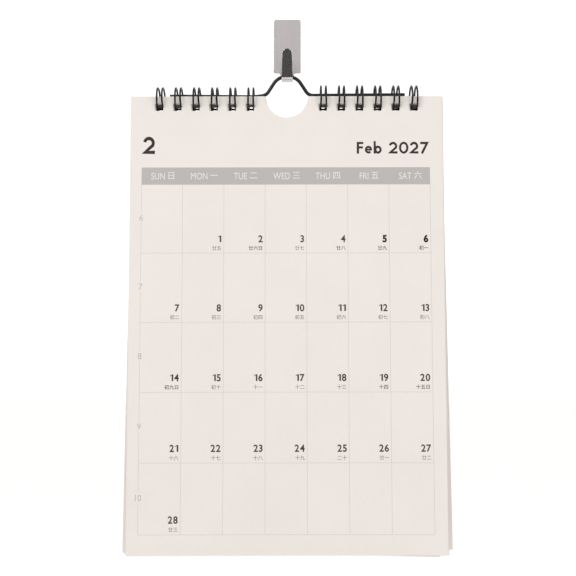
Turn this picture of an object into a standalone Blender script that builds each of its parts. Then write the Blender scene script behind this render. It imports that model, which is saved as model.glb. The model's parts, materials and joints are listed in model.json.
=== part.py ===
"""Wire-bound wall calendar hanging from a steel adhesive hook.

Metres, +Z up, the calendar faces -Y. The origin is the centre of the hook's
adhesive back face, which lies on the wall plane y = 0.

The calendar is a stack of A5-wide leaves on a twin-loop (double wire) comb in
two halves, with a bent wire hanger lying inside the loops. February is the
leaf in front. The cover and the January leaf are turned over to the back,
where they hang slightly askew, one to each side.
"""

import math

import bmesh
import bpy

MM = 0.001

# ---- driving dimensions, in millimetres ----
LEAF_W, LEAF_H = 145.0, 210.0      # sheet size
LEAF_T = 0.22                      # one leaf
BLOCK_T = 2.2                      # the ten leaves left in the block
BOARD_T = 0.55                     # grey board at the back
LEAF_TOP = -26.3                   # top edge of the sheets
THUMB_R = 10.0                     # thumb cut in the middle of the top edge
HOLE_W, HOLE_H = 4.0, 3.4          # binding holes
HOLE_DROP = 3.5                    # from the top edge to a hole

PITCH = 25.4 / 3.0                 # three loops to the inch
LOOPS = (2, 3, 4, 5, 6, 7)         # loop positions on each side, in pitches
RING_Y, RING_Z = -6.0, -26.7       # centre of the loops
RING_R = 5.25                      # to the middle of the wire
WIRE_D = 0.9
STRANDS = 2.35                     # between the two strands of a loop
STRANDS_TIP = 2.9                  # the same at the closed end
ROOT_DEG, TIP_DEG = -85.2, 264.3   # where a loop leaves the spine and ends
RING_STEPS = 13

HANGER_D = 1.7
HANGER_Y, HANGER_Z = -3.9, -24.58   # straight arms, behind the loops' centre
HANGER_HALF = 55.4                  # half its length
HANGER_TILT = 0.38                  # degrees; it hangs a little lower on the left
ARCH_TOP = -15.35                  # middle of the wire at the top of the arch
ARCH_R, FOOT_R = 7.6, 4.0           # radius of the arch and of its feet
LEG_DEG = 57.5                      # slope of the straight legs between them

PAD_W, PAD_H, PAD_T = 12.5, 25.2, 0.5
HOOK_T = 0.8                       # steel strip
PLATE_W, PLATE_H, PLATE_R = 13.3, 26.0, 1.6
HOOK_BACK = -0.55                  # back face of the plate
NECK_W, CROOK_W, TONGUE_W = 6.4, 5.3, 4.5
CROOK_Y, CROOK_Z = -3.55, -15.0    # centre of the crook's bend
TONGUE_LEAN = 15.0                 # degrees away from the wall
TONGUE_TOP = -3.75

# ---- where the sheets lie, from the middle of the loops ----
FEB_Y = RING_Y - 2.8               # front face of the February leaf
BLOCK_Y = FEB_Y + LEAF_T + 0.22    # room for a leaf's top edge as it turns
BOARD_Y = BLOCK_Y + BLOCK_T + 1.20  # room for the comb's spine
COVER_Y = BOARD_Y + BOARD_T + 0.36
JAN_Y = COVER_Y + LEAF_T + 0.40
COVER_ASKEW, JAN_ASKEW = 0.66, -0.70   # degrees; the cover hangs to the left, January to the right
ASKEW_SHIFT = 0.22
COVER_DROP = 0.35                  # the cover hangs lower in its holes
COVER_LONGER = 0.8                 # the cover is cut a little longer

for item in list(bpy.data.objects):
    bpy.data.objects.remove(item, do_unlink=True)


def material(name, colour, roughness, metallic=0.0):
    made = bpy.data.materials.new(name)
    made.use_nodes = True
    shader = made.node_tree.nodes["Principled BSDF"]
    shader.inputs["Base Color"].default_value = (*colour, 1.0)
    shader.inputs["Roughness"].default_value = roughness
    shader.inputs["Metallic"].default_value = metallic
    return made


def link(name, data, made):
    """The data as a new object of that name."""
    thing = bpy.data.objects.new(name, data)
    bpy.context.scene.collection.objects.link(thing)
    data.materials.append(made)
    return thing


def child_of(thing, parent):
    """Parents a thing at the place it already has."""
    bpy.context.view_layer.update()
    thing.parent = parent
    thing.matrix_parent_inverse = parent.matrix_world.inverted()


def pivot(name, x, y, z):
    """An empty on a joint's axis."""
    made = bpy.data.objects.new(name, None)
    made.empty_display_size = 5 * MM
    made.location = (x * MM, y * MM, z * MM)
    bpy.context.scene.collection.objects.link(made)
    return made


# ---- tubes ----
def tube(name, points, diameter, resolution, made):
    """A wire through the points, with closed ends."""
    curve = bpy.data.curves.new(name, "CURVE")
    curve.dimensions = "3D"
    curve.twist_mode = "MINIMUM"
    curve.bevel_depth = diameter / 2 * MM
    curve.bevel_resolution = resolution
    curve.use_fill_caps = True
    spline = curve.splines.new("POLY")
    spline.points.add(len(points) - 1)
    for point, (x, y, z) in zip(spline.points, points):
        point.co = (x * MM, y * MM, z * MM, 1.0)
    spline.use_smooth = True
    return link(name, curve, made)


def ease(t):
    t = min(max(t, 0.0), 1.0)
    return t * t * (3 - 2 * t)


def on_ring(x, degrees):
    a = math.radians(degrees)
    return (x, RING_Y + RING_R * math.cos(a), RING_Z + RING_R * math.sin(a))


def half_spacing(degrees):
    """Half the distance between a loop's strands, which spread at its tip."""
    spread = ease((degrees - 190.0) / (TIP_DEG - 190.0))
    return (STRANDS + (STRANDS_TIP - STRANDS) * spread) / 2


def comb_points(side):
    """One half of the comb: a single wire that runs along the spine and out
    and back round each loop in turn."""
    angles = [
        ROOT_DEG + 6 + (TIP_DEG - ROOT_DEG - 12) * i / RING_STEPS
        for i in range(RING_STEPS + 1)
    ]
    points = [on_ring((LOOPS[0] - 0.5) * PITCH, ROOT_DEG)]
    for number in LOOPS:
        x = number * PITCH
        root, tip = half_spacing(ROOT_DEG), half_spacing(TIP_DEG)
        points.append(on_ring(x - root - 0.5, ROOT_DEG))
        points += [on_ring(x - half_spacing(a), a) for a in angles]
        points.append(on_ring(x - tip + 0.5, TIP_DEG))
        points.append(on_ring(x + tip - 0.5, TIP_DEG))
        points += [on_ring(x + half_spacing(a), a) for a in reversed(angles)]
        points.append(on_ring(x + root + 0.5, ROOT_DEG))
    points.append(on_ring((LOOPS[-1] + 0.5) * PITCH, ROOT_DEG))
    return [(side * x, y, z) for x, y, z in points]


def hanger_points():
    """A straight arm, an arch with straight legs in the middle, and the other
    arm, all turned a little about the top of the arch."""
    turn = math.radians(LEG_DEG)
    reach = ARCH_R + FOOT_R
    leg = (ARCH_TOP - HANGER_Z - reach * (1 - math.cos(turn))) / math.sin(turn)
    foot = reach * math.sin(turn) + leg * math.cos(turn)
    right = [
        (ARCH_R * math.sin(turn * i / 8), ARCH_TOP - ARCH_R * (1 - math.cos(turn * i / 8)))
        for i in range(9)
    ]
    right += [
        (foot - FOOT_R * math.sin(turn * i / 6), HANGER_Z + FOOT_R * (1 - math.cos(turn * i / 6)))
        for i in range(6, -1, -1)
    ]
    right.append((HANGER_HALF, HANGER_Z))
    both = [(-x, z) for x, z in reversed(right)] + right[1:]
    c, s = math.cos(math.radians(HANGER_TILT)), math.sin(math.radians(HANGER_TILT))
    return [
        (x * c - (z - ARCH_TOP) * s, HANGER_Y, ARCH_TOP + (z - ARCH_TOP) * c + x * s)
        for x, z in both
    ]


# ---- sheets ----
def sheet(name, front, thickness, made, askew=0.0, shift=0.0, drop=0.0, longer=0.0):
    """A punched sheet with a thumb cut. front is the y of its front face."""
    curve = bpy.data.curves.new(name, "CURVE")
    curve.dimensions = "2D"
    curve.fill_mode = "BOTH"
    curve.extrude = thickness / 2 * MM
    half, top, bottom = LEAF_W / 2, LEAF_TOP - RING_Z, LEAF_TOP - RING_Z - LEAF_H - longer

    def loop(corners):
        spline = curve.splines.new("POLY")
        spline.points.add(len(corners) - 1)
        for point, (x, z) in zip(spline.points, corners):
            point.co = (x * MM, z * MM, 0.0, 1.0)
        spline.use_cyclic_u = True

    cut = [
        (THUMB_R * math.cos(math.pi * i / 16), top - THUMB_R * math.sin(math.pi * i / 16))
        for i in range(17)
    ]
    loop([(-half, bottom), (half, bottom), (half, top)] + cut + [(-half, top)])
    for side in (-1, 1):
        for number in LOOPS:
            x, upper = side * number * PITCH, top - HOLE_DROP
            loop(
                [
                    (x - HOLE_W / 2, upper),
                    (x + HOLE_W / 2, upper),
                    (x + HOLE_W / 2, upper - HOLE_H),
                    (x - HOLE_W / 2, upper - HOLE_H),
                ]
            )
    thing = link(name, curve, made)
    thing.location = (shift * MM, (front + thickness / 2) * MM, (RING_Z - drop) * MM)
    thing.rotation_euler = (math.pi / 2, math.radians(askew), 0.0)
    return thing


# ---- hook ----
def hook_rows():
    """Stations along the strip: (y, z) of its middle, its direction as an
    angle, and its half width."""
    middle = HOOK_BACK - HOOK_T / 2
    half = PLATE_W / 2
    rows = [
        (middle, PLATE_H / 2 - PLATE_R * (1 - math.cos(math.radians(15 * i))), -90.0,
         half - PLATE_R * (1 - math.sin(math.radians(15 * i))))
        for i in range(7)
    ]
    rows += [
        (middle, -PLATE_H / 2 + PLATE_R * (1 - math.sin(math.radians(15 * i))), -90.0,
         half - PLATE_R * (1 - math.cos(math.radians(15 * i))))
        for i in range(7)
    ]
    rows.append((middle, -PLATE_H / 2 - 0.02, -90.0, NECK_W / 2 + 0.5))
    rows.append((middle, -PLATE_H / 2 - 0.5, -90.0, NECK_W / 2))
    rows.append((middle, -PLATE_H / 2 - 1.2, -90.0, (NECK_W + CROOK_W) / 4))
    # the bend: down the wall, round under the hanger and up in front
    radius = middle - CROOK_Y
    turn = 180.0 - TONGUE_LEAN
    for i in range(13):
        a = math.radians(turn * i / 12)
        rows.append(
            (
                CROOK_Y + radius * math.cos(a),
                CROOK_Z - radius * math.sin(a),
                -90.0 - turn * i / 12,
                CROOK_W / 2,
            )
        )
    # the tongue, narrowing to a round end
    y0, z0 = rows[-1][:2]
    lean = math.radians(TONGUE_LEAN)
    length = (TONGUE_TOP - z0) / math.cos(lean)
    end = TONGUE_W / 2
    for t in (0.35, 0.7):
        s = (length - end) * t
        rows.append(
            (y0 - s * math.sin(lean), z0 + s * math.cos(lean), -90.0 - turn,
             (CROOK_W + (TONGUE_W - CROOK_W) * t) / 2)
        )
    for i in range(8):
        a = math.radians(90 * i / 7.4)
        s = length - end + end * math.sin(a)
        rows.append(
            (y0 - s * math.sin(lean), z0 + s * math.cos(lean), -90.0 - turn, end * math.cos(a))
        )
    return rows


def hook(name, made):
    """The strip as a lofted band, square in section."""
    mesh = bpy.data.meshes.new(name)
    work = bmesh.new()
    rings = []
    for y, z, degrees, half in hook_rows():
        a = math.radians(degrees)
        ny, nz = -math.sin(a) * HOOK_T / 2, math.cos(a) * HOOK_T / 2
        rings.append(
            [
                work.verts.new((x * MM, (y + s * ny) * MM, (z + s * nz) * MM))
                for x, s in ((-half, -1), (half, -1), (half, 1), (-half, 1))
            ]
        )
    for first, second in zip(rings, rings[1:]):
        for i in range(4):
            j = (i + 1) % 4
            work.faces.new((first[i], first[j], second[j], second[i]))
    work.faces.new(rings[0])
    work.faces.new(rings[-1])
    bmesh.ops.recalc_face_normals(work, faces=work.faces)
    work.to_mesh(mesh)
    work.free()
    return link(name, mesh, made)


def pad(name, made):
    """A rounded tile of foam tape behind the plate."""
    curve = bpy.data.curves.new(name, "CURVE")
    curve.dimensions = "2D"
    curve.fill_mode = "BOTH"
    curve.extrude = PAD_T / 2 * MM
    corners = []
    for quarter in range(4):
        cx = (PAD_W / 2 - PLATE_R) * (1 if quarter in (0, 3) else -1)
        cz = (PAD_H / 2 - PLATE_R) * (1 if quarter in (0, 1) else -1)
        for i in range(6):
            a = math.radians(90 * quarter + 18 * i)
            corners.append((cx + PLATE_R * math.cos(a), cz + PLATE_R * math.sin(a)))
    spline = curve.splines.new("POLY")
    spline.points.add(len(corners) - 1)
    for point, (x, z) in zip(spline.points, corners):
        point.co = (x * MM, z * MM, 0.0, 1.0)
    spline.use_cyclic_u = True
    thing = link(name, curve, made)
    thing.location = (0.0, -PAD_T / 2 * MM, 0.0)
    thing.rotation_euler = (math.pi / 2, 0.0, 0.0)
    return thing


steel = material("hook_plate", (0.56, 0.53, 0.53), 0.32, 1.0)
foam = material("adhesive_pad", (0.78, 0.77, 0.74), 0.85)
black_wire = material("hanger_wire", (0.028, 0.026, 0.025), 0.30)
coated_left = material("binding_wire_left", (0.018, 0.016, 0.015), 0.28)
coated_right = material("binding_wire_right", (0.018, 0.016, 0.015), 0.28)
paper_feb = material("february_leaf", (0.87, 0.82, 0.77), 0.80)
paper_block = material("page_block", (0.85, 0.80, 0.75), 0.80)
grey_board = material("backing_board", (0.52, 0.50, 0.46), 0.88)
paper_cover = material("cover_leaf", (0.85, 0.81, 0.77), 0.75)
paper_jan = material("january_leaf", (0.86, 0.81, 0.76), 0.80)

plate = hook("hook_plate", steel)
tape = pad("adhesive_pad", foam)
hanger = tube("hanger_wire", hanger_points(), HANGER_D, 2, black_wire)
left = tube("binding_wire_left", comb_points(-1), WIRE_D, 1, coated_left)
right = tube("binding_wire_right", comb_points(1), WIRE_D, 1, coated_right)
february = sheet("february_leaf", FEB_Y, LEAF_T, paper_feb)
block = sheet("page_block", BLOCK_Y, BLOCK_T, paper_block)
board = sheet("backing_board", BOARD_Y, BOARD_T, grey_board)
cover = sheet("cover_leaf", COVER_Y, LEAF_T, paper_cover, COVER_ASKEW, -ASKEW_SHIFT, COVER_DROP, COVER_LONGER)
january = sheet("january_leaf", JAN_Y, LEAF_T, paper_jan, JAN_ASKEW, ASKEW_SHIFT)

# what moves with what: the hanger slides round its arch in the crook, the
# comb swings on the hanger's arms, and the leaves turn on the loops
sway = pivot("hanger_pivot", 0.0, HANGER_Y, ARCH_TOP - ARCH_R)
swing = pivot("comb_pivot", 0.0, HANGER_Y, HANGER_Z)
turn_front = pivot("front_leaf_pivot", 0.0, RING_Y, RING_Z)
turn_cover = pivot("cover_pivot", 0.0, RING_Y, RING_Z)
turn_january = pivot("january_pivot", 0.0, RING_Y, RING_Z)
child_of(tape, plate)
child_of(sway, plate)
child_of(hanger, sway)
child_of(swing, sway)
for piece in (left, right, block, board, turn_front, turn_cover):
    child_of(piece, swing)
child_of(february, turn_front)
child_of(cover, turn_cover)
child_of(turn_january, turn_cover)
child_of(january, turn_january)
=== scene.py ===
"""The wall calendar's looks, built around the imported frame."""

import json
import math

import bmesh
import bpy
import numpy as np
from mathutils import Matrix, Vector
from mathutils.geometry import delaunay_2d_cdt

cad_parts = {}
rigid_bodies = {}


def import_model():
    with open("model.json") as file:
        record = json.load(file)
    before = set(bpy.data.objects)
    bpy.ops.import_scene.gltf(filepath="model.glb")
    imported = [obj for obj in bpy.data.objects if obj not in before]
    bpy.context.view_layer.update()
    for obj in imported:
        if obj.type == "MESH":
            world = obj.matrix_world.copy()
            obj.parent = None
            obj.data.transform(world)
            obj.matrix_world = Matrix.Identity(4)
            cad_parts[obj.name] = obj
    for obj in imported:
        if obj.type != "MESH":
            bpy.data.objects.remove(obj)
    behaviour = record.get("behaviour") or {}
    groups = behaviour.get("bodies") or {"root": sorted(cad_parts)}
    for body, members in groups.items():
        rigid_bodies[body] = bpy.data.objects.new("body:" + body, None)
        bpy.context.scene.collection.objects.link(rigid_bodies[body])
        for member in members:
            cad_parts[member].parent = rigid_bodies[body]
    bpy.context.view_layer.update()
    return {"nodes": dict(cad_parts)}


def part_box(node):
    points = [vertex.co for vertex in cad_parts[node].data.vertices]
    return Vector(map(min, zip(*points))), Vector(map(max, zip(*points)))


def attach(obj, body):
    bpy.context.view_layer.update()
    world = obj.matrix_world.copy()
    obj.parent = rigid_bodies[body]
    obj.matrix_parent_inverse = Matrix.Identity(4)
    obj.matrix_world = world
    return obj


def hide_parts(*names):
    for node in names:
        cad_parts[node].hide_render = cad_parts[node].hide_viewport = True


for thing in list(bpy.data.objects):
    bpy.data.objects.remove(thing, do_unlink=True)
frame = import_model()
nodes = frame["nodes"]
MM = 0.001

# ---- what the frame says, in millimetres ----
LEAF_W, LEAF_H, LEAF_T = 145.0, 210.0, 0.22
PITCH = 25.4 / 3.0
LOOPS = (2, 3, 4, 5, 6, 7)
HOLE_W, HOLE_H, HOLE_DROP, THUMB_R = 4.0, 3.4, 3.5, 10.0
WIRE_D, RING_R = 0.9, 5.25
STRANDS, STRANDS_TIP = 2.35, 2.9
ROOT_DEG, TIP_DEG = -85.2, 265.5


def mm_box(node):
    low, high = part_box(node)
    return np.array(low) * 1000, np.array(high) * 1000


feb_low, feb_high = mm_box("february_leaf")
block_low, block_high = mm_box("page_block")
board_low, board_high = mm_box("backing_board")
cover_low, cover_high = mm_box("cover_leaf")
jan_low, jan_high = mm_box("january_leaf")
hanger_low, hanger_high = mm_box("hanger_wire")
hook_low, hook_high = mm_box("hook_plate")
pad_low, pad_high = mm_box("adhesive_pad")
comb_low, comb_high = mm_box("binding_wire_right")
LEAF_TOP = feb_high[2]
RING_Y, RING_Z = -6.0, -26.7
HANGER_R = 0.85
HANGER_Y = (hanger_high[1] + hanger_low[1]) / 2
rng = np.random.default_rng(27)


# ---- node materials ----
class Nodes:
    """Small helper to lay out a node tree."""

    def __init__(self, name):
        self.mat = bpy.data.materials.new(name)
        self.mat.use_nodes = True
        self.tree = self.mat.node_tree
        self.shader = self.tree.nodes["Principled BSDF"]

    def new(self, kind, **inputs):
        made = self.tree.nodes.new(kind)
        for key, value in inputs.items():
            name = key.replace("_", " ")
            if name in made.inputs:
                made.inputs[name].default_value = value
            else:
                setattr(made, key, value)
        return made

    def link(self, a, out, b, into):
        self.tree.links.new(a.outputs[out], b.inputs[into])

    def set(self, **inputs):
        for key, value in inputs.items():
            self.shader.inputs[key.replace("_", " ")].default_value = value

    def coords(self, scale=(1, 1, 1), shift=(0, 0, 0)):
        texture = self.new("ShaderNodeTexCoord")
        mapping = self.new("ShaderNodeMapping")
        mapping.inputs["Scale"].default_value = scale
        mapping.inputs["Location"].default_value = shift
        self.link(texture, "Object", mapping, "Vector")
        return mapping

    def noise(self, mapping, scale, detail=4.0, rough=0.55, distortion=0.0):
        made = self.new("ShaderNodeTexNoise", Scale=scale, Detail=detail, Roughness=rough, Distortion=distortion)
        self.link(mapping, "Vector", made, "Vector")
        return made

    def remap(self, source, out, low, high, to_low, to_high):
        made = self.new("ShaderNodeMapRange")
        made.inputs["From Min"].default_value = low
        made.inputs["From Max"].default_value = high
        made.inputs["To Min"].default_value = to_low
        made.inputs["To Max"].default_value = to_high
        self.tree.links.new(source.outputs[out], made.inputs["Value"])
        return made

    def mix(self, factor, a, b):
        made = self.tree.nodes.new("ShaderNodeMix")
        made.data_type = "RGBA"
        made.inputs["A"].default_value = (*a, 1) if len(a) == 3 else a
        made.inputs["B"].default_value = (*b, 1) if len(b) == 3 else b
        self.tree.links.new(factor.outputs[0], made.inputs["Factor"])
        return made


def paper(name, base, shade, roughness=0.86, seed=0.0, fibre=0.10):
    """Uncoated paper: faint cloudiness of the pulp, fine fibres, a soft tooth."""
    n = Nodes(name)
    place = n.coords(shift=(seed, seed * 0.7, -seed))
    cloud = n.noise(place, 38.0, 3.0, 0.6)
    fine = n.noise(place, 900.0, 5.0, 0.65, 0.6)
    both = n.new("ShaderNodeMath")
    both.operation = "ADD"
    a = n.remap(cloud, 0, 0.35, 0.65, 0.0, 0.45)
    b = n.remap(fine, 0, 0.3, 0.7, 0.0, 0.55)
    n.link(a, 0, both, 0)
    n.link(b, 0, both, 1)
    tint = n.mix(both, base, shade)
    n.tree.links.new(tint.outputs["Result"], n.shader.inputs["Base Color"])
    stretched = n.coords(scale=(1.0, 1.0, 2.6), shift=(seed, 0, 0))
    tooth = n.noise(stretched, 2600.0, 6.0, 0.7, 0.8)
    bump = n.new("ShaderNodeBump", Strength=fibre, Distance=0.00006)
    n.link(tooth, 0, bump, "Height")
    n.link(bump, "Normal", n.shader, "Normal")
    rough = n.remap(fine, 0, 0.3, 0.7, roughness - 0.05, roughness + 0.05)
    n.link(rough, 0, n.shader, "Roughness")
    n.set(Specular_IOR_Level=0.25)
    return n.mat


def ink(name, base, shade, roughness=0.62):
    """Offset print: even, with the paper's tooth just showing through."""
    n = Nodes(name)
    place = n.coords()
    grain = n.noise(place, 3200.0, 4.0, 0.7)
    part = n.remap(grain, 0, 0.35, 0.7, 0.0, 1.0)
    tint = n.mix(part, base, shade)
    n.tree.links.new(tint.outputs["Result"], n.shader.inputs["Base Color"])
    bump = n.new("ShaderNodeBump", Strength=0.06, Distance=0.00003)
    n.link(grain, 0, bump, "Height")
    n.link(bump, "Normal", n.shader, "Normal")
    rough = n.remap(grain, 0, 0.3, 0.7, roughness - 0.06, roughness + 0.06)
    n.link(rough, 0, n.shader, "Roughness")
    n.set(Specular_IOR_Level=0.3)
    return n.mat


def coated_wire(name, base, shade, roughness, coat):
    """Nylon-coated steel wire: near black, glossy, slightly uneven skin."""
    n = Nodes(name)
    place = n.coords()
    skin = n.noise(place, 700.0, 4.0, 0.6)
    part = n.remap(skin, 0, 0.35, 0.65, 0.0, 1.0)
    tint = n.mix(part, base, shade)
    n.tree.links.new(tint.outputs["Result"], n.shader.inputs["Base Color"])
    bump = n.new("ShaderNodeBump", Strength=0.12, Distance=0.00004)
    n.link(skin, 0, bump, "Height")
    n.link(bump, "Normal", n.shader, "Normal")
    rough = n.remap(skin, 0, 0.3, 0.7, roughness - 0.05, roughness + 0.07)
    n.link(rough, 0, n.shader, "Roughness")
    n.set(Specular_IOR_Level=0.28, Coat_Weight=coat, Coat_Roughness=0.12)
    return n.mat


def brushed(name, base, shade):
    """Brushed stainless strip: fine streaks along its length."""
    n = Nodes(name)
    streaks = n.coords(scale=(1.0, 1.0, 0.018))
    lines = n.noise(streaks, 9000.0, 5.0, 0.75)
    broad = n.noise(n.coords(scale=(1.0, 1.0, 0.06)), 700.0, 3.0, 0.5)
    part = n.new("ShaderNodeMath")
    part.operation = "ADD"
    n.link(n.remap(lines, 0, 0.3, 0.7, 0.0, 0.6), 0, part, 0)
    n.link(n.remap(broad, 0, 0.35, 0.65, 0.0, 0.4), 0, part, 1)
    tint = n.mix(part, base, shade)
    n.tree.links.new(tint.outputs["Result"], n.shader.inputs["Base Color"])
    rough = n.remap(lines, 0, 0.3, 0.7, 0.22, 0.31)
    n.link(rough, 0, n.shader, "Roughness")
    bump = n.new("ShaderNodeBump", Strength=0.12, Distance=0.00002)
    n.link(lines, 0, bump, "Height")
    n.link(bump, "Normal", n.shader, "Normal")
    n.set(Metallic=1.0)
    return n.mat


def foam(name, base, shade):
    n = Nodes(name)
    place = n.coords()
    cells = n.new("ShaderNodeTexVoronoi", Scale=3200.0)
    n.link(place, "Vector", cells, "Vector")
    part = n.remap(cells, "Distance", 0.0, 0.8, 1.0, 0.0)
    tint = n.mix(part, base, shade)
    n.tree.links.new(tint.outputs["Result"], n.shader.inputs["Base Color"])
    bump = n.new("ShaderNodeBump", Strength=0.5, Distance=0.00008)
    n.link(cells, "Distance", bump, "Height")
    n.link(bump, "Normal", n.shader, "Normal")
    n.set(Roughness=0.9, Specular_IOR_Level=0.3)
    return n.mat


def board_stock(name, base, shade):
    """Grey recycled board, with darker and lighter flecks."""
    n = Nodes(name)
    place = n.coords()
    flecks = n.noise(n.coords(scale=(1.0, 1.0, 1.8)), 1500.0, 6.0, 0.75, 1.2)
    cloud = n.noise(place, 60.0, 3.0, 0.6)
    part = n.new("ShaderNodeMath")
    part.operation = "ADD"
    n.link(n.remap(flecks, 0, 0.35, 0.68, 0.0, 0.7), 0, part, 0)
    n.link(n.remap(cloud, 0, 0.3, 0.7, 0.0, 0.3), 0, part, 1)
    tint = n.mix(part, base, shade)
    n.tree.links.new(tint.outputs["Result"], n.shader.inputs["Base Color"])
    bump = n.new("ShaderNodeBump", Strength=0.3, Distance=0.00008)
    n.link(flecks, 0, bump, "Height")
    n.link(bump, "Normal", n.shader, "Normal")
    n.set(Roughness=0.92, Specular_IOR_Level=0.2)
    return n.mat


PAPER = (0.872, 0.815, 0.768)
PAPER_SHADE = (0.838, 0.780, 0.732)
paper_front = paper("paper_front", PAPER, PAPER_SHADE, seed=0.0)
# the block's leaves are the same paper as the front, painted a little lighter to offset the shade that falls between
# the stacked sheets: painted light
paper_inner_painted_light = paper("paper_inner_painted_light", (0.885, 0.830, 0.785), (0.860, 0.803, 0.757), seed=1.3)
# the cover and January leaves are the same paper again, painted lighter still to offset the shade on their strips
# behind the block: painted light
paper_back_painted_light = paper("paper_back_painted_light", (0.955, 0.895, 0.85), (0.93, 0.87, 0.825), seed=2.1)
grey_stock = board_stock("grey_board_stock", (0.46, 0.43, 0.39), (0.33, 0.31, 0.28))
ink_title = ink("ink_title", (0.026, 0.021, 0.018), (0.040, 0.033, 0.028))
ink_date = ink("ink_date", (0.045, 0.038, 0.034), (0.07, 0.06, 0.052))
ink_black = ink("ink_black", (0.008, 0.007, 0.006), (0.016, 0.014, 0.012))
ink_light = ink("ink_light", (0.34, 0.31, 0.29), (0.42, 0.39, 0.365))
ink_week = ink("ink_week", (0.50, 0.455, 0.44), (0.57, 0.525, 0.505))
ink_line = ink("ink_line", (0.645, 0.585, 0.56), (0.69, 0.625, 0.60))
ink_bar = ink("ink_bar", (0.485, 0.455, 0.43), (0.52, 0.49, 0.465))
ink_reverse = ink("ink_reverse", (0.84, 0.80, 0.76), (0.80, 0.76, 0.72))
ink_grey = ink("ink_grey", (0.19, 0.175, 0.165), (0.24, 0.22, 0.21))


# ---- flat shapes ----
def inside(points, loop):
    """Even-odd test of points against one closed loop."""
    x, y = points[:, 0], points[:, 1]
    found = np.zeros(len(points), bool)
    for (x0, y0), (x1, y1) in zip(loop, np.roll(loop, -1, axis=0)):
        if y0 == y1:
            continue
        crosses = (y0 > y) != (y1 > y)
        found ^= crosses & (x < (x1 - x0) * (y - y0) / (y1 - y0) + x0)
    return found


def subdivide(loop, longest):
    """The loop with its long edges divided."""
    out = []
    loop = np.asarray(loop, float)
    for a, b in zip(loop, np.roll(loop, -1, axis=0)):
        parts = max(1, int(math.ceil(np.linalg.norm(b - a) / longest)))
        out += [a + (b - a) * i / parts for i in range(parts)]
    return np.array(out)


def fill(solid, holes=(), step=None):
    """Triangles over the union of the solid loops less the holes: (points,
    faces). With a step, points of a lattice go in too, so it can bend."""
    points, edges = [], []
    for loop in list(solid) + list(holes):
        start = len(points)
        loop = np.asarray(loop, float)
        points += [Vector(p) for p in loop]
        edges += [(start + i, start + (i + 1) % len(loop)) for i in range(len(loop))]
    if step:
        every = np.array(points)
        low, high = every.min(0), every.max(0)
        xs = np.arange(low[0] + step / 2, high[0], step)
        ys = np.arange(low[1] + step / 2, high[1], step)
        grid = np.array([(x, y) for y in ys for x in xs])
        if len(grid):
            keep = np.zeros(len(grid), bool)
            for loop in solid:
                keep |= inside(grid, np.asarray(loop, float))
            for loop in holes:
                keep &= ~inside(grid, np.asarray(loop, float))
            ring = every
            near = np.array([np.min(np.abs(ring - g).max(1)) > step * 0.3 for g in grid])
            points += [Vector(p) for p in grid[keep & near]]
    verts, _, faces, *_ = delaunay_2d_cdt(points, edges, [], 0, 1e-7)
    verts = np.array([tuple(v) for v in verts])
    faces = np.array([f for f in faces if len(f) == 3])
    middle = verts[faces].mean(1)
    keep = np.zeros(len(faces), bool)
    for loop in solid:
        keep |= inside(middle, np.asarray(loop, float))
    for loop in holes:
        keep &= ~inside(middle, np.asarray(loop, float))
    faces = faces[keep]
    a, b, c = (verts[faces[:, i]] for i in range(3))
    area = (b[:, 0] - a[:, 0]) * (c[:, 1] - a[:, 1]) - (b[:, 1] - a[:, 1]) * (c[:, 0] - a[:, 0])
    faces[area < 0] = faces[area < 0][:, ::-1]
    faces = faces[np.abs(area) > 1e-10]
    used, index = np.unique(faces, return_inverse=True)
    return verts[used], index.reshape(-1, 3)


def slab(name, parts, front, back, made, smooth=False):
    """A closed solid over flat (points, faces) parts. front and back map the
    flat points, (n, 2), to places in millimetres, (n, 3)."""
    all_points, all_faces, base = [], [], 0
    for points, faces in parts:
        count = len(points)
        if not count:
            continue
        all_points += [front(points), back(points)]
        faces = np.asarray(faces)
        edges = np.concatenate([faces[:, [0, 1]], faces[:, [1, 2]], faces[:, [2, 0]]])
        have = {tuple(e) for e in edges.tolist()}
        rim = [e for e in edges.tolist() if (e[1], e[0]) not in have]
        all_faces += (faces + base).tolist()
        all_faces += (faces[:, ::-1] + base + count).tolist()
        all_faces += [(b + base, a + base, a + base + count, b + base + count) for a, b in rim]
        base += 2 * count
    mesh = bpy.data.meshes.new(name)
    mesh.from_pydata((np.concatenate(all_points) * MM).tolist(), [], all_faces)
    mesh.update()
    work = bmesh.new()
    work.from_mesh(mesh)
    bmesh.ops.recalc_face_normals(work, faces=work.faces)
    work.to_mesh(mesh)
    work.free()
    mesh.materials.append(made)
    thing = bpy.data.objects.new(name, mesh)
    bpy.context.scene.collection.objects.link(thing)
    if smooth:
        mesh.shade_smooth()
        mesh.set_sharp_from_angle(angle=math.radians(35))
    return thing


# ---- a leaf's outline, x from its middle and d down from its top edge ----
def arc(cx, cy, r, a0, a1, count):
    return [
        (cx + r * math.cos(math.radians(a0 + (a1 - a0) * i / count)),
         cy + r * math.sin(math.radians(a0 + (a1 - a0) * i / count)))
        for i in range(count + 1)
    ]


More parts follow.
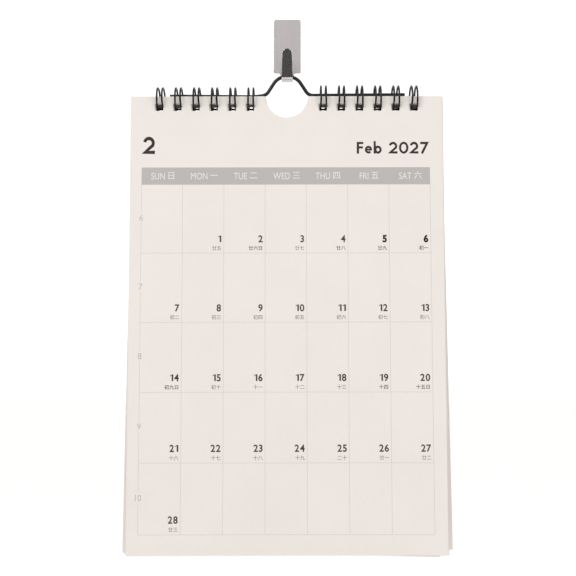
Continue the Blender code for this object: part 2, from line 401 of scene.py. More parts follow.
def leaf_outline(longer=0.0):
    """(outer loop, hole loops). y runs up, so d = -y."""
    half, f, foot = LEAF_W / 2, 0.5, -LEAF_H - longer
    # the thumb cut, with the small rounding its punch leaves at the corners
    reach = math.sqrt((THUMB_R + f) ** 2 - f ** 2)
    lean = math.degrees(math.asin(f / (THUMB_R + f)))
    outer = arc(-half + f, foot + f, f, 180, 270, 3)
    outer += arc(half - f, foot + f, f, 270, 360, 3)
    outer += [(half, 0.0)]
    outer += arc(reach, -f, f, 90, 180 - lean, 3)
    outer += arc(0, 0, THUMB_R, -lean, -180 + lean, 40)[1:-1]
    outer += arc(-reach, -f, f, lean, 90, 3)
    outer += [(-half, 0.0)]
    holes = []
    for side in (-1, 1):
        for number in LOOPS:
            x, r = side * number * PITCH, 0.45
            top, low = -HOLE_DROP, -HOLE_DROP - HOLE_H
            loop = arc(x + HOLE_W / 2 - r, top - r, r, 0, 90, 3)
            loop += arc(x - HOLE_W / 2 + r, top - r, r, 90, 180, 3)
            loop += arc(x - HOLE_W / 2 + r, low + r, r, 180, 270, 3)
            loop += arc(x + HOLE_W / 2 - r, low + r, r, 270, 360, 3)
            holes.append(loop)
    return subdivide(outer, 4.0), holes


def sheet_shape(longer=0.0):
    outer, holes = leaf_outline(longer)
    return fill([outer], holes, step=4.0)


LEAF_FLAT = sheet_shape()


class Surface:
    """The lie of one sheet: flat points (x, -d) to places in millimetres."""

    def __init__(self, y, turn=0.0, shift=0.0, drop=0.0, curl=0.0, corners=0.0, wave=0.0, seed=0, back=0.0):
        self.y, self.turn, self.shift, self.drop = y, math.radians(turn), shift, drop
        self.curl, self.corners, self.wave, self.seed, self.back = curl, corners, wave, seed, back

    def lie(self, x, d):
        """How far the sheet stands forward of its flat place."""
        t = np.clip((d - 12.0) / (LEAF_H - 12.0), 0.0, 1.0)
        out = (self.curl + self.corners * (x / 72.5) ** 2) * t ** 2 - self.back * t ** 0.8
        s = self.seed
        ease = np.clip((d - 12.0) / 40.0, 0.0, 1.0)
        out = out + self.wave * ease * (
            np.sin(x / 31.0 + 1.3 * s) * np.cos(d / 44.0 + 0.7 * s)
            + 0.5 * np.sin(x / 17.0 - d / 29.0 + 2.1 * s)
        )
        return out

    def at(self, points, out):
        """Places of the flat points, out millimetres in front of the face."""
        points = np.asarray(points, float)
        x, d = points[:, 0], -points[:, 1]
        forward = self.lie(x, d)
        z = LEAF_TOP - d - RING_Z
        c, s = math.cos(self.turn), math.sin(self.turn)
        # turning about the middle of the loops, seen from the front
        px = x * c - z * s + self.shift
        pz = x * s + z * c + RING_Z - self.drop
        return np.stack([px, self.y - forward - out, pz], axis=1)


def leaf(name, surface, thickness, made, flat=LEAF_FLAT):
    return slab(name, [flat], lambda p: surface.at(p, 0.0), lambda p: surface.at(p, -thickness), made)


def rolled(thing, body, slot, *replaced):
    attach(thing, body)
    if replaced:
        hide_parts(*replaced)
    return thing


# turn > 0 swings a sheet's foot to the right as it is seen from the front
front_face = Surface(feb_low[1], turn=0.09, shift=-0.42, curl=1.75, corners=0.45, wave=0.06, seed=1)
feb_leaf = leaf("february_sheet", front_face, LEAF_T, paper_front)
rolled(feb_leaf, "front_leaf", "warm_paper", "february_leaf")

# ---- the ten leaves in the block ----
step_y = (block_high[1] - block_low[1]) / 10
block_surfaces = []
block_parts_points, block_parts = [], []
for i in range(10):
    lean = float(rng.uniform(-0.05, 0.05)) + (0.12 if i in (1, 4) else -0.10 if i in (2, 7) else 0.0)
    block_surfaces.append(
        Surface(
            block_low[1] + i * step_y,
            turn=lean,
            shift=float(rng.uniform(-0.12, 0.12)),
            drop=float(rng.uniform(-0.06, 0.14)),
            curl=1.45 - 0.11 * i,
            corners=0.25 - 0.02 * i,
            wave=0.05,
            seed=1,
        )
    )
for i, surface in enumerate(block_surfaces):
    sheet_piece = leaf(f"leaf_{['march','april','may','june','july','august','september','october','november','december'][i]}",
                       surface, step_y - 0.03, paper_inner_painted_light)
    rolled(sheet_piece, "calendar", "warm_paper", *(["page_block"] if i == 0 else []))

board_surface = Surface(board_low[1], curl=0.0, corners=0.0, wave=0.03, seed=3)
board = leaf("backing_board_sheet", board_surface, board_high[1] - board_low[1], grey_stock)
rolled(board, "calendar", "grey_board", "backing_board")

cover_surface = Surface(cover_low[1], turn=-0.66, shift=-0.22, drop=0.35, curl=-0.25, corners=0.25, wave=0.05, seed=5)
cover = leaf("cover_sheet", cover_surface, LEAF_T, paper_back_painted_light, sheet_shape(0.8))
rolled(cover, "turned_cover", "warm_paper", "cover_leaf")
jan_surface = Surface(jan_low[1], turn=0.80, shift=0.30, curl=-0.15, corners=0.2, wave=0.05, seed=7)
january = leaf("january_sheet", jan_surface, LEAF_T, paper_back_painted_light)
rolled(january, "turned_january", "warm_paper", "january_leaf")


# ---- print ----
def rect(x0, d0, x1, d1, longest=4.0):
    """A rectangle from the leaf's left and top edges, in millimetres."""
    h = LEAF_W / 2
    return subdivide([(x0 - h, -d0), (x0 - h, -d1), (x1 - h, -d1), (x1 - h, -d0)], longest)


def printed(name, parts, surface, body, made, height=0.022):
    thing = slab(
        name,
        parts,
        lambda p: surface.at(p, height),
        lambda p: surface.at(p, 0.004),
        made,
    )
    return rolled(thing, body, "warm_paper")


font_size = {}


def type_shape(text, resolution=4, weight=0.0):
    """The letters' fill at size 1, as (points, faces), baseline at y = 0."""
    curve = bpy.data.curves.new("type", "FONT")
    curve.body = text
    curve.resolution_u = resolution
    curve.offset = weight
    thing = bpy.data.objects.new("type", curve)
    bpy.context.scene.collection.objects.link(thing)
    bpy.context.view_layer.update()
    graph = bpy.context.evaluated_depsgraph_get()
    mesh = thing.evaluated_get(graph).to_mesh()
    mesh.calc_loop_triangles()
    points = np.array([tuple(v.co)[:2] for v in mesh.vertices]).reshape(-1, 2)
    faces = np.array([tuple(t.vertices) for t in mesh.loop_triangles]).reshape(-1, 3)
    bpy.data.objects.remove(thing)
    # weld the points that the letters' pieces share
    rounded, index = np.unique(np.round(points, 5), axis=0, return_inverse=True)
    faces = index.reshape(-1)[faces]
    faces = faces[(faces[:, 0] != faces[:, 1]) & (faces[:, 1] != faces[:, 2]) & (faces[:, 0] != faces[:, 2])]
    a, b, c = (rounded[faces[:, i]] for i in range(3))
    area = (b[:, 0] - a[:, 0]) * (c[:, 1] - a[:, 1]) - (b[:, 1] - a[:, 1]) * (c[:, 0] - a[:, 0])
    faces[area < 0] = faces[area < 0][:, ::-1]
    return rounded, faces


CAP = type_shape("H")[0][:, 1].max()
CJK = type_shape("日")[0]
CJK_TOP, CJK_LOW = CJK[:, 1].max(), CJK[:, 1].min()


def set_type(text, x, d, height, align="right", weight=0.0, resolution=4, squeeze=1.0, cjk=False):
    """Type whose capitals are height tall, its baseline d below the top edge.
    x is the right, left or middle of the ink from the leaf's left edge."""
    points, faces = type_shape(text, resolution, weight)
    points = points.copy()
    if cjk:
        scale = height / (CJK_TOP - CJK_LOW)
        points[:, 1] -= CJK_LOW
    else:
        scale = height / CAP
    points[:, 0] -= points[:, 0].min()
    points *= (scale * squeeze, scale)
    wide = points[:, 0].max()
    points[:, 0] += {"left": x, "right": x - wide, "middle": x - wide / 2}[align] - LEAF_W / 2
    points[:, 1] -= d
    return points, faces


# drawn letters for the titles: a geometric bold, in units of the cap height
def offset_path(path, width):
    """A stroke along the path with mitred corners, as one loop."""
    path = np.asarray(path, float)
    left, right = [], []
    for i, p in enumerate(path):
        before = path[i] - path[i - 1] if i else path[1] - path[0]
        after = path[i + 1] - path[i] if i < len(path) - 1 else before
        before, after = before / np.linalg.norm(before), after / np.linalg.norm(after)
        n0, n1 = np.array([-before[1], before[0]]), np.array([-after[1], after[0]])
        mid = n0 + n1
        mid /= np.linalg.norm(mid)
        reach = min(width / 2 / max(mid @ n0, 0.2), width * 1.25)
        left.append(p + mid * reach)
        right.append(p - mid * reach)
    return np.array(left + right[::-1])


W = 0.2


def ellipse(cx, cy, rx, ry, count=40):
    return [
        (cx + rx * math.cos(2 * math.pi * i / count), cy + ry * math.sin(2 * math.pi * i / count))
        for i in range(count)
    ]


def earc(cx, cy, rx, ry, a0, a1, count=18):
    return [
        (cx + rx * math.cos(math.radians(a0 + (a1 - a0) * i / count)),
         cy + ry * math.sin(math.radians(a0 + (a1 - a0) * i / count)))
        for i in range(count + 1)
    ]


def glyph(letter):
    """(width, solid loops, hole loops) of a letter of cap height 1."""
    h = W / 2
    if letter == "2":
        top = earc(0.37, 0.635, 0.285, 0.27, 168, -32, 20)
        path = top + [(0.13, h), (0.77, h)]
        return 0.78, [offset_path(path, W)], []
    if letter == "0":
        return 0.86, [ellipse(0.43, 0.5, 0.43, 0.51)], [ellipse(0.43, 0.5, 0.43 - W, 0.51 - W * 0.95)]
    if letter == "7":
        return 0.80, [offset_path([(0.03, 1 - h), (0.66, 1 - h), (0.17, 0.0)], W)], []
    if letter == "3":
        up = offset_path(earc(0.34, 0.745, 0.235, 0.165, 160, -90, 16), W)
        low = offset_path(earc(0.33, 0.31, 0.29, 0.22, 90, -162, 18), W)
        return 0.72, [up, low], []
    if letter == "6":
        ring = [ellipse(0.4, 0.335, 0.4, 0.345)]
        stem = offset_path([(0.16, 0.48), (0.50, 0.99)], W)
        return 0.80, ring + [stem], [ellipse(0.4, 0.335, 0.4 - W, 0.345 - W)]
    if letter == "F":
        loops = [
            [(0, 0), (W * 1.05, 0), (W * 1.05, 1), (0, 1)],
            [(0, 1 - W * 0.92), (0.60, 1 - W * 0.92), (0.60, 1), (0, 1)],
            [(0, 0.44), (0.56, 0.44), (0.56, 0.44 + W * 0.9), (0, 0.44 + W * 0.9)],
        ]
        return 0.60, loops, []
    if letter == "M":
        path = offset_path([(0.12, 0.0), (0.17, 0.80), (0.5, 0.22), (0.83, 0.80), (0.88, 0.0)], W)
        return 1.0, [path], []
    if letter == "e":
        rx, ry = 0.335, 0.335
        ring = offset_path(earc(rx, ry, rx - h, ry - h, 6, 318, 30), W * 0.95)
        bar = [(W * 0.5, ry - 0.075), (2 * rx - 0.02, ry - 0.075), (2 * rx - 0.01, ry + 0.075), (W * 0.5, ry + 0.075)]
        return 2 * rx, [ring, bar], []
    if letter == "b":
        r = 0.335
        stem = [(0, 0), (W, 0), (W, 1.06), (0, 1.06)]
        return 2 * r + 0.06, [stem, ellipse(0.06 + r, r, r, r + 0.01)], [ellipse(0.06 + r, r, r - W, r + 0.01 - W)]
    if letter == "a":
        r = 0.325
        stem = [(2 * r - W + 0.05, 0), (2 * r + 0.05, 0), (2 * r + 0.05, 2 * r), (2 * r - W + 0.05, 2 * r)]
        return 2 * r + 0.05, [stem, ellipse(r, r, r, r + 0.01)], [ellipse(r, r, r - W, r + 0.01 - W)]
    if letter == "r":
        stem = [(0, 0), (W, 0), (W, 0.66), (0, 0.66)]
        arm = offset_path(earc(0.30, 0.37, 0.20, 0.20, 150, 62, 8), W)
        return 0.42, [stem, arm], []
    return 0.40, [], []


def lettering(text, x, d, height, align="left", gap=0.13, squeeze=0.93):
    """Parts for a line of drawn letters, x and d as for set_type."""
    pen, parts = 0.0, []
    for letter in text:
        wide, solid, holes = glyph(letter)
        if solid:
            points, faces = fill(solid, holes)
            parts.append((points + (pen, 0.0), faces))
        pen += wide + gap
    pen = max(p[0][:, 0].max() for p in parts)
    wide = pen * height * squeeze
    start = {"left": x, "right": x - wide, "middle": x - wide / 2}[align]
    out = []
    for points, faces in parts:
        points = points * (height * squeeze, height)
        points[:, 0] += start - LEAF_W / 2
        points[:, 1] -= d
        out.append((points, faces))
    return out


GRID_L, GRID_R, BAR_TOP, ROW_0, ROW = 5.42, 139.02, 33.5, 41.53, 31.842
COLUMN = (GRID_R - GRID_L) / 7
WEEKDAYS = [
    ("SUN", "日"), ("MON", "一"), ("TUE", "二"), ("WED", "三"),
    ("THU", "四"), ("FRI", "五"), ("SAT", "六"),
]
TEN = "十"
DIGITS = "一二三四五六七八九"


def lunar_name(day):
    """The lunar day of the month, as wall calendars give it."""
    if day <= 10:
        return "初" + (TEN if day == 10 else DIGITS[day - 1])
    if day < 20:
        return TEN + DIGITS[day - 11]
    if day == 20:
        return "二" + TEN
    return "廿" + DIGITS[day - 21] if day < 30 else "三" + TEN


def month_page(tag, number, title, days, lunar, special, weeks, bold, surface, body):
    """All the print of one month, as pieces that ride with its leaf."""
    printed(f"{tag}_number", lettering(number, 6.08, 27.15, 8.1, squeeze=0.87), surface, body, ink_title)
    printed(f"{tag}_title", lettering(title, 138.72, 27.1, 5.5, "right", gap=0.135, squeeze=0.925), surface, body, ink_title)
    bar = fill([rect(GRID_L, BAR_TOP, GRID_R, ROW_0)], (), step=4.0)
    printed(f"{tag}_weekday_bar", [bar], surface, body, ink_bar, 0.014)
    words = []
    for i, (latin, sign) in enumerate(WEEKDAYS):
        middle = GRID_L + COLUMN * (i + 0.5)
        a = set_type(latin, 0, BAR_TOP + 5.55, 3.05, "left", 0.0, 4, 0.765)
        b = cjk_sign(sign, BAR_TOP + 5.62, 3.95)
        first, second = np.ptp(a[0][:, 0]), 3.05
        start = middle + 0.35 - (first + 1.5 + second) / 2 - LEAF_W / 2
        a[0][:, 0] += start - a[0][:, 0].min()
        b[0][:, 0] += start + first + 1.5 + second / 2 - (b[0][:, 0].min() + b[0][:, 0].max()) / 2
        words += [a, b]
    printed(f"{tag}_weekday_names", words, surface, body, ink_reverse, 0.024)
    rows = 5 if days[1] + days[0] <= 35 else 6
    lines = []
    line = 0.21
    bottom = ROW_0 + ROW * rows
    gaps = [ROW_0 + ROW * r + 15.5 for r in range(rows)]
    for i in range(8):
        x = GRID_L + COLUMN * i
        stops = [ROW_0]
        if i == 0:
            for g in gaps:
                stops += [g - 2.2, g + 2.2]
        stops.append(bottom)
        for d0, d1 in zip(stops[::2], stops[1::2]):
            lines.append(fill([rect(x - line / 2, d0, x + line / 2, d1)]))
    for r in range(1, rows + 1):
        for i in range(7):
            x0 = GRID_L + COLUMN * i + line / 2
            d = ROW_0 + ROW * r
            lines.append(fill([rect(x0, d - line / 2, x0 + COLUMN - line, d + line / 2)]))
    printed(f"{tag}_grid", lines, surface, body, ink_line, 0.012)
    dates, heavy, small, strong = [], [], [], []
    first, count = days
    for day in range(1, count + 1):
        place = first + day - 1
        r, c = divmod(place, 7)
        right = GRID_L + COLUMN * (c + 1) - 1.15
        base = ROW_0 + ROW * (r + 1)
        (heavy if day in bold else dates).extend(
            figures(str(day), right, base - 5.05, 3.05, 0.050 if day in bold else 0.026)
        )
        text = special.get(day)
        (strong if text else small).append(
            cjk_line(text or lunar_name(lunar(day)), right + 0.1, base - 1.3, 2.22)
        )
    printed(f"{tag}_dates", dates, surface, body, ink_date)
    if heavy:
        printed(f"{tag}_holiday_dates", heavy, surface, body, ink_black)
    printed(f"{tag}_lunar_days", small, surface, body, ink_grey)
    if strong:
        printed(f"{tag}_named_days", strong, surface, body, ink_black)
    marks = [
        set_type(str(w), GRID_L, g + 1.35, 2.8, "middle", 0.0, 3, 0.9) for w, g in zip(weeks, gaps)
    ]
    printed(f"{tag}_week_numbers", marks, surface, body, ink_week)


def figures(text, x, d, height, weight):
    """Bold figures ending at x. The 1 is drawn with its flag."""
    parts, pen = [], 0.0
    for letter in text:
        if letter == "1":
            w = 0.150 + weight
            stem = [(0.20, 0.0), (0.20 + w, 0.0), (0.20 + w, CAP), (0.20, CAP)]
            flag = [(0.03, CAP - 0.20), (0.20 + w * 0.6, CAP - 0.02), (0.20 + w, CAP), (0.20, CAP), (0.0, CAP - 0.13)]
            points, faces = fill([stem, flag])
        else:
            points, faces = type_shape(letter, 4, weight)
            points = points.copy()
        points[:, 0] += pen - points[:, 0].min()
        pen = points[:, 0].max() + 0.095
        parts.append((points, faces))
    pen -= 0.095
    out = []
    for points, faces in parts:
        points = (points - (pen, 0.0)) * (height / CAP * 0.93, height / CAP)
        points[:, 0] += x - LEAF_W / 2
        points[:, 1] -= d
        out.append((points, faces))
    return out


def cjk_sign(sign, d, size):
    """One sign in a square of that size whose foot is d down, x from 0."""
    points, faces = type_shape(sign, 3, 0.004)
    points = points.copy() * size
    points[:, 1] += 0.11 * size - d
    return points, faces


def cjk_line(text, right, d, size):
    """Signs side by side, the last ending at right."""
    points, faces = type_shape(text, 2, 0.006)
    points = points.copy() * size
    points[:, 0] += right - len(text) * size - LEAF_W / 2
    points[:, 1] += 0.08 * size - d
    return points, faces


month_page(
    "february", "2", "Feb 2027", (1, 28),
    lambda day: day + 24 if day < 6 else day - 5,
    {2: "廿六日", 4: "廿八", 5: "廿九", 6: "初一",
     14: "初九日", 19: "十四", 20: "十五日"},
    (6, 7, 8, 9, 10), (5, 6), front_face, "front_leaf",
)
month_page(
    "march", "3", "Mar 2027", (1, 31),
    lambda day: day + 23 if day < 8 else day - 7,
    {},
    (10, 11, 12, 13, 14), (), block_surfaces[0], "calendar",
)
printed("cover_year", lettering("2027", LEAF_W / 2, 108.0, 13.5, "middle", gap=0.12), cover_surface, "turned_cover", ink_black)
printed("cover_next_year", lettering("2026", LEAF_W / 2, 126.0, 11.5, "middle", gap=0.12), cover_surface, "turned_cover", ink_grey)


# ---- wires ----
def fillet(points, radii, step=0.12):
    """The path with its corners rounded."""
    out = [np.array(points[0], float)]
    for i in range(1, len(points) - 1):
        p, a, b = (np.array(q, float) for q in (points[i], points[i - 1], points[i + 1]))
        u, v = (a - p) / np.linalg.norm(a - p), (b - p) / np.linalg.norm(b - p)
        angle = math.acos(np.clip(u @ v, -1, 1))
        if angle > math.pi - 1e-3 or radii[i] == 0:
            out.append(p)
            continue
        back = radii[i] / math.tan(angle / 2)
        centre = p + (u + v) / np.linalg.norm(u + v) * radii[i] / math.sin(angle / 2)
        s, e = p + u * back - centre, p + v * back - centre
        a0, sweep = math.atan2(s[1], s[0]), math.atan2(e[1], e[0]) - math.atan2(s[1], s[0])
        sweep = (sweep + math.pi) % (2 * math.pi) - math.pi
        count = max(3, int(abs(sweep) * radii[i] / step))
        out += [
            centre + radii[i] * np.array([math.cos(a0 + sweep * k / count), math.sin(a0 + sweep * k / count)])
            for k in range(count + 1)
        ]
    out.append(np.array(points[-1], float))
    return np.array(out)


def sweep_tube(name, centre, radius, sides, made, ends=0.25):
    """A round wire along the points, with its ends slightly rounded."""
    centre = np.asarray(centre, float)
    tangent = np.gradient(centre, axis=0)
    tangent /= np.linalg.norm(tangent, axis=1)[:, None]
    normal = np.cross(tangent[0], (0.3, 0.2, 1.0))
    normal /= np.linalg.norm(normal)
    rings = []
    radii = np.full(len(centre), radius)
    for i, (p, t) in enumerate(zip(centre, tangent)):
        normal = normal - t * (normal @ t)
        normal /= np.linalg.norm(normal)
        side = np.cross(t, normal)
        angles = np.arange(sides) * 2 * math.pi / sides
        rings.append((p, t, normal.copy(), side))
    verts, faces = [], []

    def ring(p, normal, side, r):
        angles = np.arange(sides) * 2 * math.pi / sides
        return p + r * (np.cos(angles)[:, None] * normal + np.sin(angles)[:, None] * side)

    p, t, a, b = rings[0]
    verts += list(ring(p, a, b, radius * (1 - ends)))
    verts += list(ring(p + t * radius * ends, a, b, radius))
    for p, t, a, b in rings[1:-1]:
        verts += list(ring(p, a, b, radius))
    p, t, a, b = rings[-1]
    verts += list(ring(p - t * radius * ends, a, b, radius))
    verts += list(ring(p, a, b, radius * (1 - ends)))
    count = len(verts) // sides
    for i in range(count - 1):
        for j in range(sides):
            k = (j + 1) % sides
            faces.append((i * sides + j, i * sides + k, (i + 1) * sides + k, (i + 1) * sides + j))
    faces.append(tuple(range(sides))[::-1])
    faces.append(tuple((count - 1) * sides + j for j in range(sides)))
    mesh = bpy.data.meshes.new(name)
    mesh.from_pydata((np.array(verts) * MM).tolist(), [], faces)
    work = bmesh.new()
    work.from_mesh(mesh)
    bmesh.ops.recalc_face_normals(work, faces=work.faces)
    work.to_mesh(mesh)
    work.free()
    mesh.materials.append(made)
    mesh.shade_smooth()
    mesh.set_sharp_from_angle(angle=math.radians(50))
    thing = bpy.data.objects.new(name, mesh)
    bpy.context.scene.collection.objects.link(thing)
    return thing


def ease(t):
    t = np.clip(t, 0.0, 1.0)
    return t * t * (3 - 2 * t)


def comb(side):
    """One half of the comb. It is drawn flat, as the wire is before it is
    rolled: x along the spine, s along a loop, and then rolled up."""
    s0, s1 = math.radians(ROOT_DEG) * RING_R, math.radians(TIP_DEG) * RING_R
    points, radii = [((LOOPS[0] - 0.5) * PITCH, s0)], [0]
    for number in LOOPS:
        x, a, b = number * PITCH, STRANDS / 2, STRANDS_TIP / 2
        late = s0 + (s1 - s0) * 0.80
        points += [(x - a, s0), (x - a, late), (x - b, s1), (x + b, s1), (x + a, late), (x + a, s0)]
        radii += [0.75, 30.0, 1.05, 1.05, 30.0, 0.75]
    points.append(((LOOPS[-1] + 0.5) * PITCH, s0))
    radii.append(0)
    flat = fillet(points, radii, 0.22)
    # even steps along the wire
    fine = [flat[0]]
    for p, q in zip(flat, flat[1:]):
        parts = max(1, int(np.linalg.norm(q - p) / 0.42))
        fine += [p + (q - p) * k / parts for k in range(1, parts + 1)]
    fine = np.array(fine)
    fine = fine[np.concatenate([[True], np.linalg.norm(np.diff(fine, axis=0), axis=1) > 0.05])]
    angle = fine[:, 1] / RING_R
    up = np.sin(angle)
    tall = 0.62 if side > 0 else -0.38
    centre = np.stack([side * fine[:, 0], RING_Y + RING_R * np.cos(angle), RING_Z + RING_R * up + tall * np.maximum(up, 0) ** 2], axis=1)
    return centre


gloss_black = coated_wire("binding_black_gloss", (0.005, 0.004, 0.004), (0.012, 0.010, 0.009), 0.22, 0.0)
satin_black = coated_wire("hanger_black_satin", (0.012, 0.011, 0.010), (0.022, 0.020, 0.019), 0.34, 0.0)
for side, tag in ((-1, "left"), (1, "right")):
    wire = sweep_tube(f"twin_loop_{tag}", comb(side), WIRE_D / 2, 10, gloss_black)
    rolled(wire, "calendar", "binding_black", f"binding_wire_{tag}")

ARCH_R, FOOT_R, LEG, TILT = 7.6, 4.0, math.radians(57.5), math.radians(0.38)
arms_z, arch_z, end_x = -24.58, -15.35, 55.4
reach = ARCH_R + FOOT_R
leg = (arch_z - arms_z - reach * (1 - math.cos(LEG))) / math.sin(LEG)
foot = reach * math.sin(LEG) + leg * math.cos(LEG)
right_half = [(ARCH_R * math.sin(LEG * i / 24), arch_z - ARCH_R * (1 - math.cos(LEG * i / 24))) for i in range(25)]
start, stop = np.array(right_half[-1]), np.array((foot - FOOT_R * math.sin(LEG), arms_z + FOOT_R * (1 - math.cos(LEG))))
right_half += [tuple(start + (stop - start) * i / 12) for i in range(1, 12)]
right_half += [(foot - FOOT_R * math.sin(LEG * i / 16), arms_z + FOOT_R * (1 - math.cos(LEG * i / 16))) for i in range(16, -1, -1)]
right_half += [(foot + (end_x - foot) * i / 30, arms_z) for i in range(1, 31)]
whole = [(-x, z) for x, z in reversed(right_half)] + right_half[1:]
whole = [
    (x * math.cos(TILT) - (z - arch_z) * math.sin(TILT), arch_z + (z - arch_z) * math.cos(TILT) + x * math.sin(TILT))
    for x, z in whole
]
# the left arm sags a little past its foot
whole = [
    (x, z - 0.5 * min(1.0, max(0.0, (-x - 11.0) / 5.0)) * min(1.0, max(0.0, (50.0 + x) / 34.0)))
    for x, z in whole
]
hanger = sweep_tube("hanger_bent_wire", [(x, HANGER_Y, z) for x, z in whole], HANGER_R, 20, satin_black, ends=0.3)
rolled(hanger, "hanger", "hanger_black", "hanger_wire")


# ---- hook ----
def hook_stations():
    t = 0.8
    middle = (hook_high[1] - t / 2)
    half, top, low, r = 13.3 / 2, hook_high[2], -13.0, 1.25
    rows = []
    for i in range(13):
        a = math.radians(7.5 * i)
        rows.append((middle, top - r * (1 - math.cos(a)), -90.0, half - r * (1 - math.sin(a))))
    for z in np.linspace(top - r - 1.0, low + r + 1.0, 22):
        rows.append((middle, z, -90.0, half))
    for i in range(13):
        a = math.radians(7.5 * i)
        rows.append((middle, low + r * (1 - math.sin(a)), -90.0, half - r * (1 - math.cos(a))))
    # a concave corner into the neck
    for i in range(1, 9):
        a = math.radians(90 * i / 8)
        rows.append((middle, low - 0.02 - 1.1 * (1 - math.cos(a)) - 0.002 * i, -90.0, 2.65 + 0.55 + 1.1 - 1.1 * math.sin(a)))
    for w in (0.4, 0.2, 0.0):
        rows.append((middle, low - 1.15 - (0.55 - w) * 0.9, -90.0, 2.65 + w))
    cy, cz = -3.55, -15.0
    radius = middle - cy
    lean = 15.0
    span = 180.0 - lean
    for i in range(37):
        a = math.radians(span * i / 36)
        rows.append((cy + radius * math.cos(a), cz - radius * math.sin(a), -90.0 - span * i / 36, 2.65))
    y0, z0 = rows[-1][:2]
    a = math.radians(lean)
    length = (-3.75 - z0) / math.cos(a)
    end = 2.25
    for t0 in np.linspace(0.1, 1.0, 10):
        s = (length - end) * t0
        rows.append((y0 - s * math.sin(a), z0 + s * math.cos(a), -90.0 - span, 2.65 + (end - 2.65) * t0))
    for i in range(1, 16):
        b = math.radians(90 * i / 15.3)
        s = length - end + end * math.sin(b)
        rows.append((y0 - s * math.sin(a), z0 + s * math.cos(a), -90.0 - span, end * math.cos(b)))
    return rows


def hook_mesh():
    t, e = 0.8, 0.11
    work = bmesh.new()
    rings = []
    for y, z, degrees, half in hook_stations():
        a = math.radians(degrees)
        ny, nz = -math.sin(a), math.cos(a)
        k = min(e, half * 0.4)
        m = (half - k) * 0.96
        section = [
            (-half + k, -t / 2), (-m, -t / 2), (m, -t / 2), (half - k, -t / 2), (half - k * 0.3, -t / 2 + k * 0.3), (half, -t / 2 + k),
            (half, t / 2 - k), (half - k * 0.3, t / 2 - k * 0.3), (half - k, t / 2), (m, t / 2), (-m, t / 2), (-half + k, t / 2),
            (-half + k * 0.3, t / 2 - k * 0.3), (-half, t / 2 - k), (-half, -t / 2 + k), (-half + k * 0.3, -t / 2 + k * 0.3),
        ]
        rings.append([work.verts.new((x * MM, (y + s * ny) * MM, (z + s * nz) * MM)) for x, s in section])
    for first, second in zip(rings, rings[1:]):
        for i in range(16):
            j = (i + 1) % 16
            work.faces.new((first[i], first[j], second[j], second[i]))
    work.faces.new(rings[0])
    work.faces.new(rings[-1])
    bmesh.ops.recalc_face_normals(work, faces=work.faces)
    mesh = bpy.data.meshes.new("hook_strip")
    work.to_mesh(mesh)
    work.free()
    mesh.shade_smooth()
    mesh.set_sharp_from_angle(angle=math.radians(40))
    return mesh


steel = brushed("brushed_steel", (0.645, 0.600, 0.600), (0.57, 0.528, 0.528))
mesh = hook_mesh()
mesh.materials.append(steel)
hook = bpy.data.objects.new("hook_strip", mesh)
bpy.context.scene.collection.objects.link(hook)
rolled(hook, "wall_hook", "brushed_steel", "hook_plate")

pad_points = []
r, hw, hh = 1.6, (pad_high[0] - pad_low[0]) / 2, (pad_high[2] - pad_low[2]) / 2
for cx, cz, a0 in ((hw - r, hh - r, 0), (-hw + r, hh - r, 90), (-hw + r, -hh + r, 180), (hw - r, -hh + r, 270)):
    pad_points += arc(cx, cz, r, a0, a0 + 90, 8)
pad_flat = fill([subdivide(pad_points, 1.0)], (), step=1.2)
thick = pad_high[1] - pad_low[1]


def pad_side(points, y, shrink):
    q = points * (1 - shrink / hh)
    return np.stack([q[:, 0], np.full(len(q), y), q[:, 1]], axis=1)


tape = slab("foam_tape", [pad_flat], lambda p: pad_side(p, pad_low[1], 0.0), lambda p: pad_side(p, pad_high[1], 0.05),
            foam("foam_tape_skin", (0.80, 0.79, 0.76), (0.62, 0.61, 0.58)))
rolled(tape, "wall_hook", "foam_tape", "adhesive_pad")

# ---- floor, light and camera ----
def plain(name, colour, roughness=0.9):
    made = bpy.data.materials.new(name)
    made.use_nodes = True
    shader = made.node_tree.nodes["Principled BSDF"]
    shader.inputs["Base Color"].default_value = (*colour, 1)
    shader.inputs["Roughness"].default_value = roughness
    shader.inputs["Specular IOR Level"].default_value = 0.1
    return made


bpy.ops.mesh.primitive_plane_add(size=12.0, location=(0, 5.0, -0.95))
floor = bpy.context.object
floor.name = "floor"
floor_white = plain("floor_pale", (0.92, 0.92, 0.91))
floor_white.node_tree.nodes["Principled BSDF"].inputs["Emission Color"].default_value = (1, 1, 1, 1)
floor_white.node_tree.nodes["Principled BSDF"].inputs["Emission Strength"].default_value = 0.22
floor.data.materials.append(floor_white)

world = bpy.data.worlds.new("studio")
bpy.context.scene.world = world
world.use_nodes = True
tree = world.node_tree
background = tree.nodes["Background"]
texture = tree.nodes.new("ShaderNodeTexCoord")
split = tree.nodes.new("ShaderNodeSeparateXYZ")
tree.links.new(texture.outputs["Generated"], split.inputs[0])


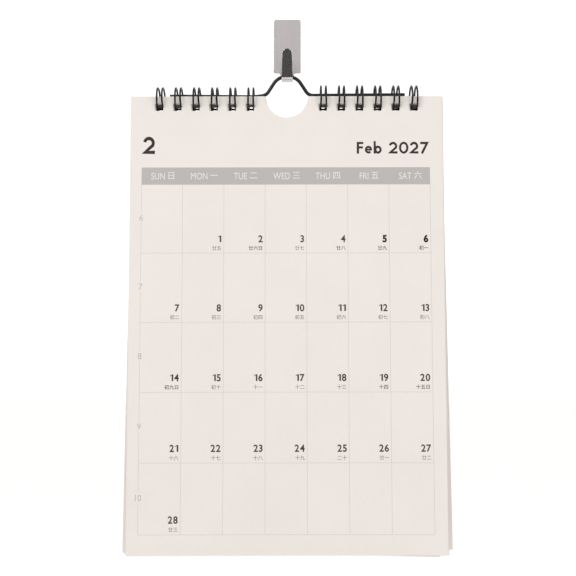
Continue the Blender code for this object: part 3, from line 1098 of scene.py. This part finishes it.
def ramp(out, low, high, to_low, to_high):
    made = tree.nodes.new("ShaderNodeMapRange")
    made.interpolation_type = "SMOOTHSTEP"
    for key, value in (("From Min", low), ("From Max", high), ("To Min", to_low), ("To Max", to_high)):
        made.inputs[key].default_value = value
    tree.links.new(split.outputs[out], made.inputs["Value"])
    return made


# white all round behind; in front a light ceiling and a darker room below
height = ramp("Z", -0.06, 0.24, 0.03, 0.72)
across = ramp("Y", -0.30, 0.10, 0.0, 1.0)
blend = tree.nodes.new("ShaderNodeMix")
blend.data_type = "FLOAT"
tree.links.new(across.outputs[0], blend.inputs["Factor"])
tree.links.new(height.outputs[0], blend.inputs["A"])
blend.inputs["B"].default_value = 0.95
background.inputs["Color"].default_value = (1.0, 1.0, 1.0, 1)
seen = tree.nodes.new("ShaderNodeMix")
seen.data_type = "FLOAT"
seen.inputs["B"].default_value = 1.2
tree.links.new(tree.nodes.new("ShaderNodeLightPath").outputs["Is Camera Ray"], seen.inputs["Factor"])
tree.links.new(blend.outputs[0], seen.inputs["A"])
tree.links.new(seen.outputs[0], background.inputs["Strength"])


def softbox(name, place, aim, size, power, colour=(1, 1, 1)):
    data = bpy.data.lights.new(name, "AREA")
    data.shape = "RECTANGLE"
    data.size, data.size_y = size
    data.energy = power
    data.color = colour
    lamp = bpy.data.objects.new(name, data)
    lamp.location = place
    lamp.rotation_euler = (Vector(aim) - Vector(place)).to_track_quat("-Z", "Y").to_euler()
    bpy.context.scene.collection.objects.link(lamp)
    return lamp


softbox("key", (-0.50, -0.80, 0.62), (0, 0, -0.14), (0.5, 0.5), 5.85)
softbox("fill", (0.75, -0.95, 0.25), (0, 0, -0.14), (0.8, 0.8), 4.55)

camera_data = bpy.data.cameras.new("camera")
camera_data.lens = 855.8 / 576 * 36
camera_data.sensor_width = 36
camera_data.clip_start = 0.01
camera = bpy.data.objects.new("camera", camera_data)
camera.location = (0.00038, feb_low[1] * MM - 0.392458, LEAF_TOP * MM - 0.113989)
camera.rotation_euler = (math.radians(90 + 3.567), 0, 0)
bpy.context.scene.collection.objects.link(camera)
bpy.context.scene.camera = camera
bpy.context.scene.view_settings.view_transform = "Standard"
